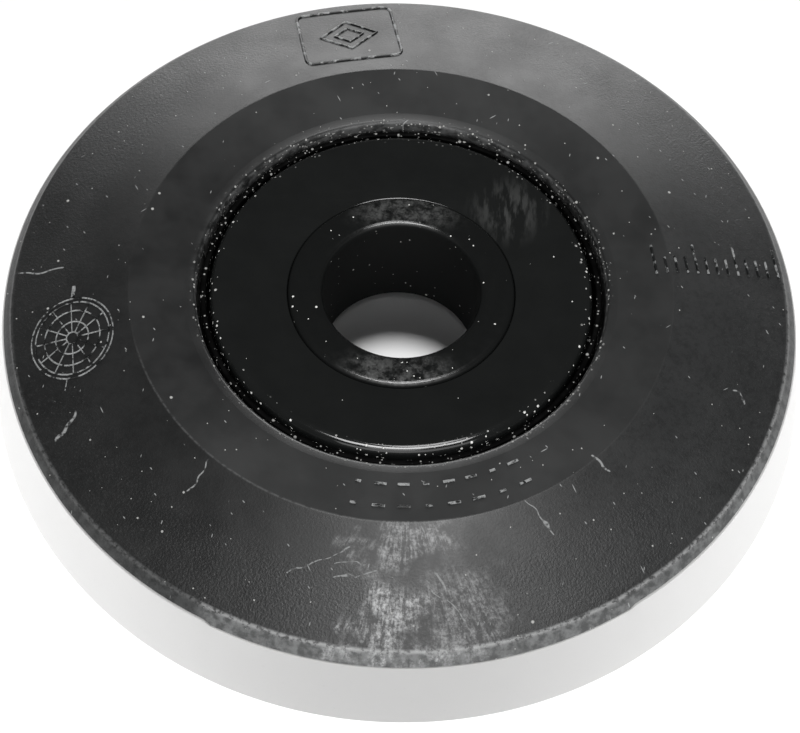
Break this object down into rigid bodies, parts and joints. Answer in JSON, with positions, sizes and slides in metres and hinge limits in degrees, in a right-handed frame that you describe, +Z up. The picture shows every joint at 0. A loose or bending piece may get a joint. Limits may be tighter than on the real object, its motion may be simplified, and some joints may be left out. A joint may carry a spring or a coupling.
{
  "type": "desk grommet",
  "caption": "Low round cable grommet with a light side ring, black sloped cover, lift-out turning cap and a pull-out bush for a cable.",
  "frame": {"origin": "on the desk surface, at the centre of the cable hole", "axes": "+Z up out of the desk along the cable hole; -Y towards the viewer; +X to the right"},
  "size_m": [0.06, 0.06, 0.0103],
  "materials": {
    "light_plastic": "smooth satin",
    "textured_black_plastic": "fine spark-eroded grain, scuffed",
    "seat_plastic": "satin",
    "gloss_black_plastic": "polished",
    "matte_black_plastic": "fine matte",
    "foot_rubber": "solid rubber, fine matte",
    "zinc_steel": "bright zinc plate"
  },
  "bodies": {
    "housing": {"base_ring": "light_plastic", "top_ring": "textured_black_plastic", "rubber_foot": "foot_rubber", "base_screw_1": "zinc_steel", "base_screw_2": "zinc_steel", "base_screw_3": "zinc_steel", "base_screw_4": "zinc_steel"},
    "turning_ring": {"seat_ring": "seat_plastic"},
    "cap": {"centre_cap": "gloss_black_plastic"},
    "bush": {"cable_bush": "matte_black_plastic"}
  },
  "joints": [
    {"name": "cap_turn", "type": "hinge", "parent": "housing", "child": "turning_ring", "pos_m": [0, 0, 0.0058], "axis": [0, 0, 1], "continuous": true},
    {"name": "cap_lift", "type": "slide", "parent": "turning_ring", "child": "cap", "axis": [0, 0, 1], "range_m": [0, 0.014]},
    {"name": "bush_pull", "type": "slide", "parent": "cap", "child": "bush", "axis": [0, 0, 1], "range_m": [0, 0.012]}
  ]
}
